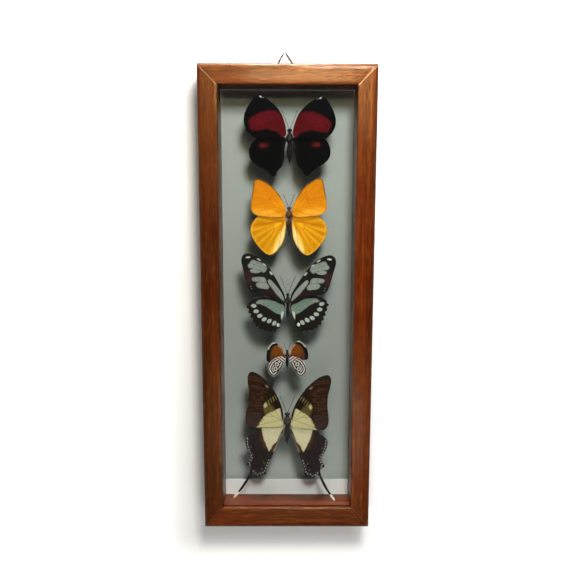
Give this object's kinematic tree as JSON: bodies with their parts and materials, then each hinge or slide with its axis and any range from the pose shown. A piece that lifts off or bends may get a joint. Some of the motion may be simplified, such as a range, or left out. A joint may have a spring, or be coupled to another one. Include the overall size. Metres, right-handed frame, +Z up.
{
  "type": "framed butterfly specimen",
  "caption": "Tall narrow wooden frame with two panes of glass and spread butterflies set in a row between them, hung by a wire triangle.",
  "frame": {"origin": "the nail that carries the frame: the inside of the wire triangle's top corner; the triangle leans and its base has slid along in the strap, so the frame's middle is 2.7 mm to the right of it", "axes": "+Z up, +X to the right of someone looking at the front, +Y towards the wall; the front pane faces -Y"},
  "size_m": [0.152, 0.0372, 0.4303],
  "materials": {
    "varnished_wood": "clear gloss varnish over reddish-brown stain",
    "pane_glass": "clear float glass with a faint green tint",
    "label_card": "matt uncoated card, blank",
    "hanger_steel": "dull dark zinc-plated wire and sheet",
    "clear_glue": "clear set glue",
    "insect_body": "dark matt scales and short hair",
    "crimson_wing": "black wing scales with a crimson band",
    "sulphur_wing": "orange-yellow wing scales",
    "clearwing_wing": "black wing scales round thin pale windows",
    "ringlet_wing": "orange-brown, black and white wing scales",
    "swallowtail_wing": "dark brown and cream wing scales"
  },
  "bodies": {
    "frame": {"top_rail": "varnished_wood", "bottom_rail": "varnished_wood", "left_rail": "varnished_wood", "right_rail": "varnished_wood", "front_glass": "pane_glass", "back_glass": "pane_glass", "label_card": "label_card", "hanger_strap": "hanger_steel", "strap_brad_1": "hanger_steel", "strap_brad_2": "hanger_steel", "crimson_body": "insect_body", "crimson_forewing_left": "crimson_wing", "crimson_forewing_right": "crimson_wing", "crimson_hindwing_left": "crimson_wing", "crimson_hindwing_right": "crimson_wing", "crimson_glue_dot": "clear_glue", "sulphur_body": "insect_body", "sulphur_forewing_left": "sulphur_wing", "sulphur_forewing_right": "sulphur_wing", "sulphur_hindwing_left": "sulphur_wing", "sulphur_hindwing_right": "sulphur_wing", "sulphur_glue_dot": "clear_glue", "clearwing_body": "insect_body", "clearwing_forewing_left": "clearwing_wing", "clearwing_forewing_right": "clearwing_wing", "clearwing_hindwing_left": "clearwing_wing", "clearwing_hindwing_right": "clearwing_wing", "clearwing_glue_dot": "clear_glue", "ringlet_body": "insect_body", "ringlet_forewing_left": "ringlet_wing", "ringlet_forewing_right": "ringlet_wing", "ringlet_hindwing_left": "ringlet_wing", "ringlet_hindwing_right": "ringlet_wing", "ringlet_glue_dot": "clear_glue", "swallowtail_body": "insect_body", "swallowtail_forewing_left": "swallowtail_wing", "swallowtail_forewing_right": "swallowtail_wing", "swallowtail_hindwing_left": "swallowtail_wing", "swallowtail_hindwing_right": "swallowtail_wing", "swallowtail_glue_dot": "clear_glue"},
    "hanger": {"hanger_wire": "hanger_steel"}
  },
  "joints": [
    {"name": "hanger_swing", "type": "hinge", "parent": "frame", "child": "hanger", "pos_m": [0.0027, 0, -0.0195], "axis": [-1, 0, 0], "range_deg": [0, 180]}
  ]
}
